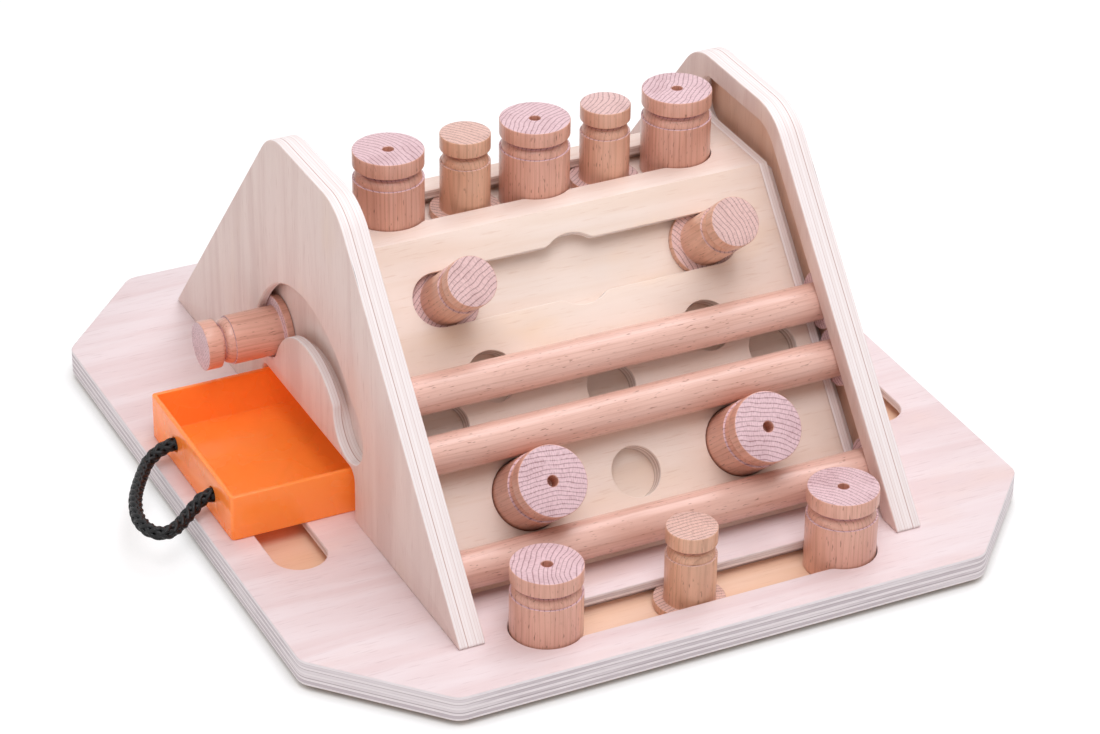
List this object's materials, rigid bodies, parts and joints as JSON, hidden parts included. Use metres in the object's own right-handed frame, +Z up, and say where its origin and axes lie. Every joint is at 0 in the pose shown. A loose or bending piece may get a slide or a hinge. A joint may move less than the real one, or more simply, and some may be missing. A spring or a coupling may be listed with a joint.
{
  "type": "dog puzzle feeder",
  "caption": "Wooden treat puzzle: plywood base and side panels with pull drawers, lift-out pegs, sliding pegs in slots and rods that roll up a slope.",
  "frame": {"origin": "middle of the base, on the plane that the feet stand on", "axes": "+X to the right, +Y to the back, +Z up; the slope and the front slot face -Y"},
  "size_m": [0.4163, 0.426, 0.1823],
  "materials": {
    "birch_base": "satin clear lacquer on rotary cut birch",
    "birch_panel": "satin clear lacquer on rotary cut birch",
    "birch_core": "sawn ply edge, clear lacquer",
    "birch_board": "satin clear lacquer on rotary cut birch",
    "beech_turned": "turned beech, satin oil",
    "beech_rod": "beech dowel, satin oil",
    "orange_drawer": "glossy moulded plastic",
    "black_rope": "braided polypropylene cord",
    "foot_rubber": "matt grey rubber",
    "screw_steel": "zinc plated"
  },
  "bodies": {
    "frame": {"feet": "foot_rubber", "base_bottom_sheet": "birch_base", "base_core_sheet": "birch_base", "base_top_sheet": "birch_base", "left_outer_sheet": "birch_panel", "left_core_sheet": "birch_core", "left_inner_sheet": "birch_panel", "right_outer_sheet": "birch_panel", "right_core_sheet": "birch_core", "right_inner_sheet": "birch_panel", "deck_top_sheet": "birch_board", "deck_core_sheet": "birch_core", "deck_bottom_sheet": "birch_board", "slope_top_sheet": "birch_board", "slope_core_sheet": "birch_core", "slope_bottom_sheet": "birch_board", "back_board": "birch_board", "drawer_guide_front": "birch_core", "drawer_guide_back": "birch_core", "drawer_stop": "birch_core", "base_screws": "screw_steel"},
    "drawer_left_body": {"drawer_left": "orange_drawer", "rope_left": "black_rope", "rope_knots_left": "black_rope"},
    "drawer_right_body": {"drawer_right": "orange_drawer", "rope_right": "black_rope", "rope_knots_right": "black_rope"},
    "deck_peg_left_body": {"deck_peg_left": "beech_turned"},
    "deck_peg_middle_body": {"deck_peg_middle": "beech_turned"},
    "deck_peg_right_body": {"deck_peg_right": "beech_turned"},
    "deck_slider_left_body": {"deck_slider_left": "beech_turned"},
    "deck_slider_right_body": {"deck_slider_right": "beech_turned"},
    "slope_slider_left_body": {"slope_slider_left": "beech_turned"},
    "slope_slider_right_body": {"slope_slider_right": "beech_turned"},
    "slope_peg_left_body": {"slope_peg_left": "beech_turned"},
    "slope_peg_right_body": {"slope_peg_right": "beech_turned"},
    "base_peg_left_body": {"base_peg_left": "beech_turned"},
    "base_peg_right_body": {"base_peg_right": "beech_turned"},
    "base_slider_body": {"base_slider": "beech_turned"},
    "arch_slider_left_body": {"arch_slider_left": "beech_turned"},
    "arch_slider_right_body": {"arch_slider_right": "beech_turned"},
    "rod_upper_body": {"rod_upper": "beech_rod", "rod_upper_discs": "beech_turned"},
    "rod_middle_body": {"rod_middle": "beech_rod", "rod_middle_discs": "beech_turned"},
    "rod_lower_body": {"rod_lower": "beech_rod", "rod_lower_discs": "beech_turned"}
  },
  "joints": [
    {"name": "drawer_left_slide", "type": "slide", "parent": "frame", "child": "drawer_left_body", "axis": [-1, 0, 0], "range_m": [-0.0607, 0.03]},
    {"name": "drawer_right_slide", "type": "slide", "parent": "frame", "child": "drawer_right_body", "axis": [1, 0, 0], "range_m": [0, 0.0907]},
    {"name": "deck_peg_left_lift", "type": "slide", "parent": "frame", "child": "deck_peg_left_body", "axis": [0, 0, 1], "range_m": [0, 0.05]},
    {"name": "deck_peg_middle_lift", "type": "slide", "parent": "frame", "child": "deck_peg_middle_body", "axis": [0, 0, 1], "range_m": [0, 0.05]},
    {"name": "deck_peg_right_lift", "type": "slide", "parent": "frame", "child": "deck_peg_right_body", "axis": [0, 0, 1], "range_m": [0, 0.05]},
    {"name": "deck_slider_left_slide", "type": "slide", "parent": "frame", "child": "deck_slider_left_body", "axis": [1, 0, 0], "range_m": [-0.0053, 0.0021]},
    {"name": "deck_slider_right_slide", "type": "slide", "parent": "frame", "child": "deck_slider_right_body", "axis": [1, 0, 0], "range_m": [-0.0031, 0.0043]},
    {"name": "slope_slider_left_slide", "type": "slide", "parent": "frame", "child": "slope_slider_left_body", "axis": [1, 0, 0], "range_m": [-0.0047, 0.0513]},
    {"name": "slope_slider_right_slide", "type": "slide", "parent": "frame", "child": "slope_slider_right_body", "axis": [-1, 0, 0], "range_m": [-0.0022, 0.0538]},
    {"name": "slope_peg_left_lift", "type": "slide", "parent": "frame", "child": "slope_peg_left_body", "axis": [0, -0.7625, 0.647], "range_m": [0, 0.045]},
    {"name": "slope_peg_right_lift", "type": "slide", "parent": "frame", "child": "slope_peg_right_body", "axis": [0, -0.7625, 0.647], "range_m": [0, 0.045]},
    {"name": "base_peg_left_lift", "type": "slide", "parent": "frame", "child": "base_peg_left_body", "axis": [0, 0, 1], "range_m": [0, 0.015]},
    {"name": "base_peg_right_lift", "type": "slide", "parent": "frame", "child": "base_peg_right_body", "axis": [0, 0, 1], "range_m": [0, 0.015]},
    {"name": "base_slider_slide", "type": "slide", "parent": "frame", "child": "base_slider_body", "axis": [1, 0, 0], "range_m": [-0.0402, 0.0462]},
    {"name": "arch_slider_left_swing", "type": "hinge", "parent": "frame", "child": "arch_slider_left_body", "pos_m": [0, 0, 0.0389], "axis": [1, 0, 0], "range_deg": [0, 126]},
    {"name": "arch_slider_right_swing", "type": "hinge", "parent": "frame", "child": "arch_slider_right_body", "pos_m": [0, 0, 0.0389], "axis": [1, 0, 0], "range_deg": [0, 126]},
    {"name": "rod_middle_slide", "type": "slide", "parent": "frame", "child": "rod_middle_body", "axis": [0, 0.647, 0.7625], "range_m": [0, 0.0215]},
    {"name": "rod_upper_slide", "type": "slide", "parent": "frame", "child": "rod_upper_body", "axis": [0, 0.647, 0.7625], "range_m": [0, 0.0215]},
    {"name": "rod_lower_spin", "type": "hinge", "parent": "frame", "child": "rod_lower_body", "pos_m": [0, -0.14014, 0.0313], "axis": [1, 0, 0], "continuous": true}
  ],
  "couplings": [
    {"joint": "rod_upper_slide", "follows": "rod_middle_slide", "ratio": 1}
  ]
}
